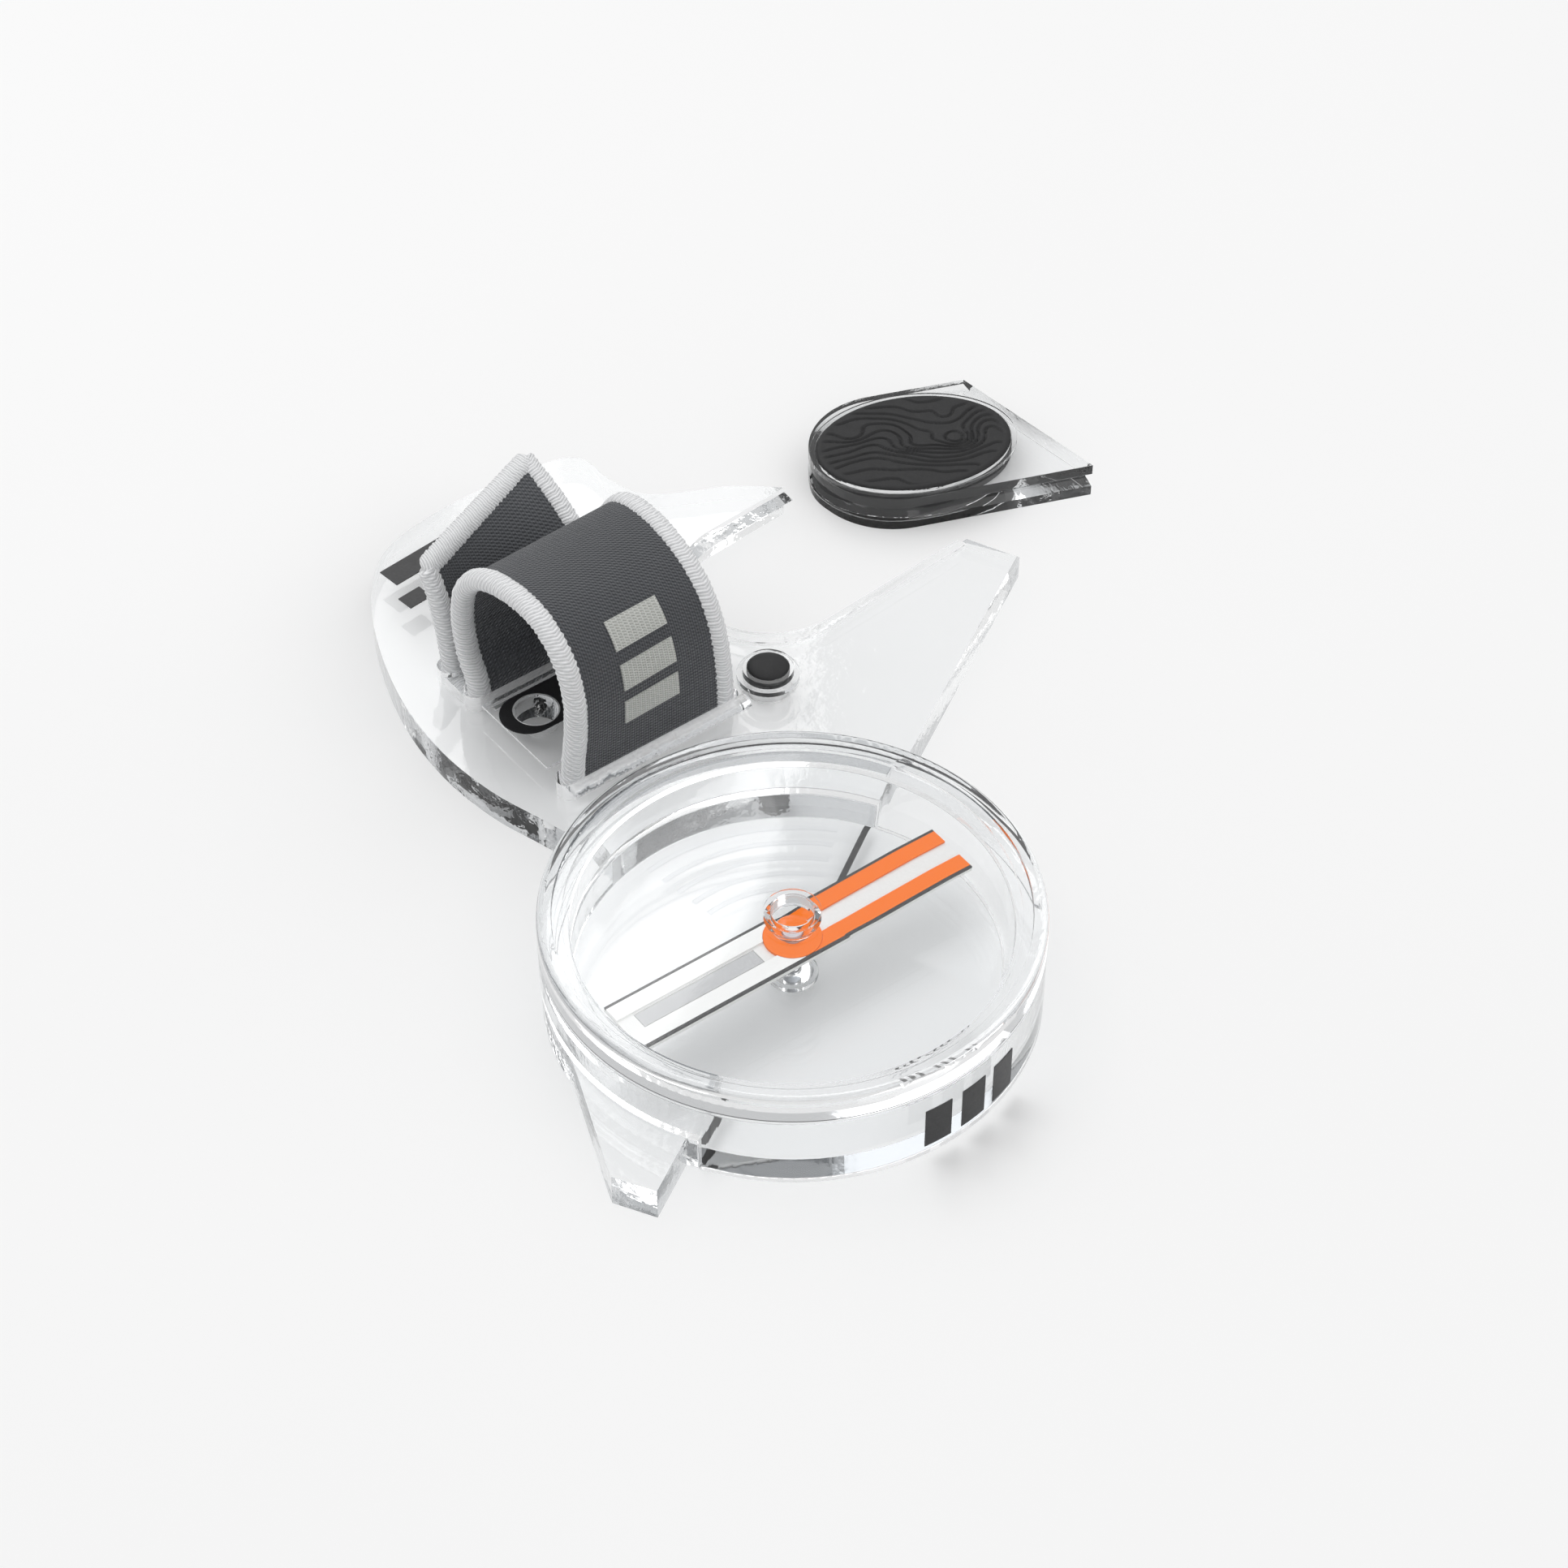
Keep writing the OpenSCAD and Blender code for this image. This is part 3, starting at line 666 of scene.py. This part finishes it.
# plain blocks on the outside of the loop, where the CAD motif lies
CAD_STEP = LOOP_STEPS / 3
BLOCK_ROWS = 12
block = flat_section(MOTIF_HALF, MOTIF_COLS, BAND_T / 2 + MOTIF_RISE, BAND_T / 2 - MOTIF_SINK)
blocks = []
for k in range(3):
    first, final = 1 + (5 + 3 * k) * CAD_STEP, 1 + (7 + 3 * k) * CAD_STEP
    rows = [(first + (final - first) * i / BLOCK_ROWS, 0.3 * i) for i in range(BLOCK_ROWS + 1)]
    blocks.append(sweep("strap_block_%d" % (k + 1), block, rows, MOTIF))
    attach(blocks[-1], "plate")
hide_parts("strap_motif")


# ------------------------------------------------------------------ friction button

low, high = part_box("friction_button")
cx, cy = (low.x + high.x) * HALF_MM, (low.y + high.y) * HALF_MM
r, top = (high.x - low.x) * HALF_MM, high.z * PER_METRE
SEAT = r + 0.09
RIM = PLATE_T + 1.14
DOME_STEPS = 12
# the skirt fills its bore in the clear collar; below that it stands free
profile = [(r - 0.15, 0.02), (r, 0.15), (r, PLATE_T - 0.15), (SEAT, PLATE_T - 0.1), (SEAT, RIM - 0.02),
           (r - 0.01, RIM), (r - 0.06, RIM + 0.05)]
for i in range(1, DOME_STEPS):
    b = pi / 2 * i / DOME_STEPS
    profile.append(((r - 0.09) * cos(b) + 0.02, RIM + 0.06 + (top - RIM - 0.08) * sin(b)))
stands_for(lathe("button_dome", profile, (cx, cy), RUBBER), "plate", "black_rubber", "friction_button")


# ------------------------------------------------------------------ rubber pad

MODULE_AT = Vector((-16.9, 68.87))
MODULE_TURN = radians(38)
PAD_AT = Vector((2.2, -0.4))
PAD_RX, PAD_RY = 10.1, 7.25
pad_low, pad_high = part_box("module_pad")
PAD_TOP, PAD_BOTTOM = pad_high.z * PER_METRE, pad_low.z * PER_METRE
RIM_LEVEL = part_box("module_plate")[1].z * PER_METRE - 0.75
PAD_COUNT, PAD_RINGS = 400, 66
# centre, widths and height of each hill
HILLS = [(4.4, -0.9, 1.9, 1.7, 2.1), (4.9, 2.9, 2.6, 1.5, 0.6), (-5.8, 2.4, 1.5, 1.2, 0.9),
         (-0.2, -0.7, 2.2, 1.2, 1.15), (-7.4, -2.4, 3.4, 1.9, -0.6), (1.2, -4.6, 4.5, 1.3, -0.5),
         (8.3, 0.6, 1.7, 3.4, -0.8)]


def hill(x, y):
    """Smooth made-up terrain over the pad."""
    h = 0.12 * x + 0.46 * y + 0.5 * sin(0.55 * x + 0.4) * (1 - 0.05 * y * y / 2)
    for hx, hy, wx, wy, rise in HILLS:
        h += rise * exp(-((x - hx) / wx) ** 2 - ((y - hy) / wy) ** 2)
    h += 0.35 * noise.noise(Vector((x * 0.3, y * 0.4, 3.1)))
    return h


def groove(x, y, level_step=0.58, width=0.3, depth=0.24):
    """Depth of the contour grooves: constant width along level lines of the terrain."""
    h = hill(x, y)
    d = 0.05
    slope = hypot(hill(x + d, y) - hill(x - d, y), hill(x, y + d) - hill(x, y - d)) / (2 * d)
    off = abs((h / level_step) % 1.0 - 0.5) * level_step / max(slope, 0.12)
    k = max(0.0, 1 - off / (width * 0.62))
    return depth * (1 - (1 - k) ** 2)


def rubber_pad():
    """Oval pad: grooved top in rings about the middle, then a rounded edge down to the pocket."""
    turn = Matrix.Rotation(MODULE_TURN, 2)
    inner = PAD_RX - 0.55
    rows = [(inner * (i + 1) / PAD_RINGS, None) for i in range(PAD_RINGS)]
    rows += [(PAD_RX - 0.42, PAD_TOP - 0.055), (PAD_RX - 0.25, PAD_TOP - 0.09),
             (PAD_RX - 0.1, PAD_TOP - 0.17), (PAD_RX - 0.02, PAD_TOP - 0.3),
             (PAD_RX - 0.02, RIM_LEVEL), (PAD_RX + 0.1, RIM_LEVEL - 0.1),
             (PAD_RX + 0.1, PAD_BOTTOM + 0.1),
             (PAD_RX - 0.1, PAD_BOTTOM), (PAD_RX * 0.5, PAD_BOTTOM)]
    verts, faces, uvs = [], [], []

    def put(x, y, z):
        p = MODULE_AT + turn @ (PAD_AT + Vector((x, y)))
        verts.append((p.x * MM, p.y * MM, z * MM))
        uvs.append((x * MM, y * MM))

    put(0, 0, PAD_TOP - groove(0, 0))
    for rx, level in rows:
        ry = rx - (PAD_RX - PAD_RY) * rx / PAD_RX
        for k in range(PAD_COUNT):
            b = tau * k / PAD_COUNT
            x, y = rx * cos(b), ry * sin(b)
            z = level
            if z is None:
                f = rx / PAD_RX
                fade = min(1.0, max(0.0, (inner - rx) / 0.5))
                z = PAD_TOP - 0.05 * f * f - groove(x, y) * fade
            put(x, y, z)
    put(0, 0, PAD_BOTTOM)
    end = 1 + (len(rows) - 1) * PAD_COUNT
    for k in range(PAD_COUNT):
        j = (k + 1) % PAD_COUNT
        faces.append((0, 1 + k, 1 + j))
        for i in range(len(rows) - 1):
            here, there = 1 + i * PAD_COUNT, 1 + (i + 1) * PAD_COUNT
            faces.append((here + k, there + k, there + j, here + j))
        faces.append((end + k, len(verts) - 1, end + j))
    return make("pad_rubber", verts, faces, RUBBER, uvs, angle=60)


stands_for(rubber_pad(), "pad_module", "black_rubber", "module_pad")


# ------------------------------------------------------------------ capsule seam

seam = axis_high.z * PER_METRE
ring_r = (axis_high.x - axis_low.x) * HALF_MM
seam_section = [(ring_r - 0.3, seam - 0.03), (ring_r - 0.12, seam - 0.06), (ring_r - 0.12, seam + 0.04),
                (ring_r - 0.3, seam + 0.01)]
seam_line = ring("seam_line", seam_section, capsule_axis, SEAM_LINE)
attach(seam_line, "plate")


# ------------------------------------------------------------------ floor

m, nt, p = new_material("floor")
co = mm_coords(nt)
nt.links.new(shaded(nt, noise_of(nt, co, 0.01, 2), [(0.3, 0.90), (0.7, 0.91)]), p.inputs["Base Color"])
p.inputs["Roughness"].default_value = 1.0
p.inputs["Specular IOR Level"].default_value = 0.0
HALF, FLOOR_Z = 3.0, -3e-5
corners = [(x * HALF, y * HALF, FLOOR_Z) for x, y in ((-1, -1), (1, -1), (1, 1), (-1, 1))]
ground = make("floor", corners, [(0, 1, 2, 3)], m, smooth=False)
ground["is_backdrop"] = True

low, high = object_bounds()
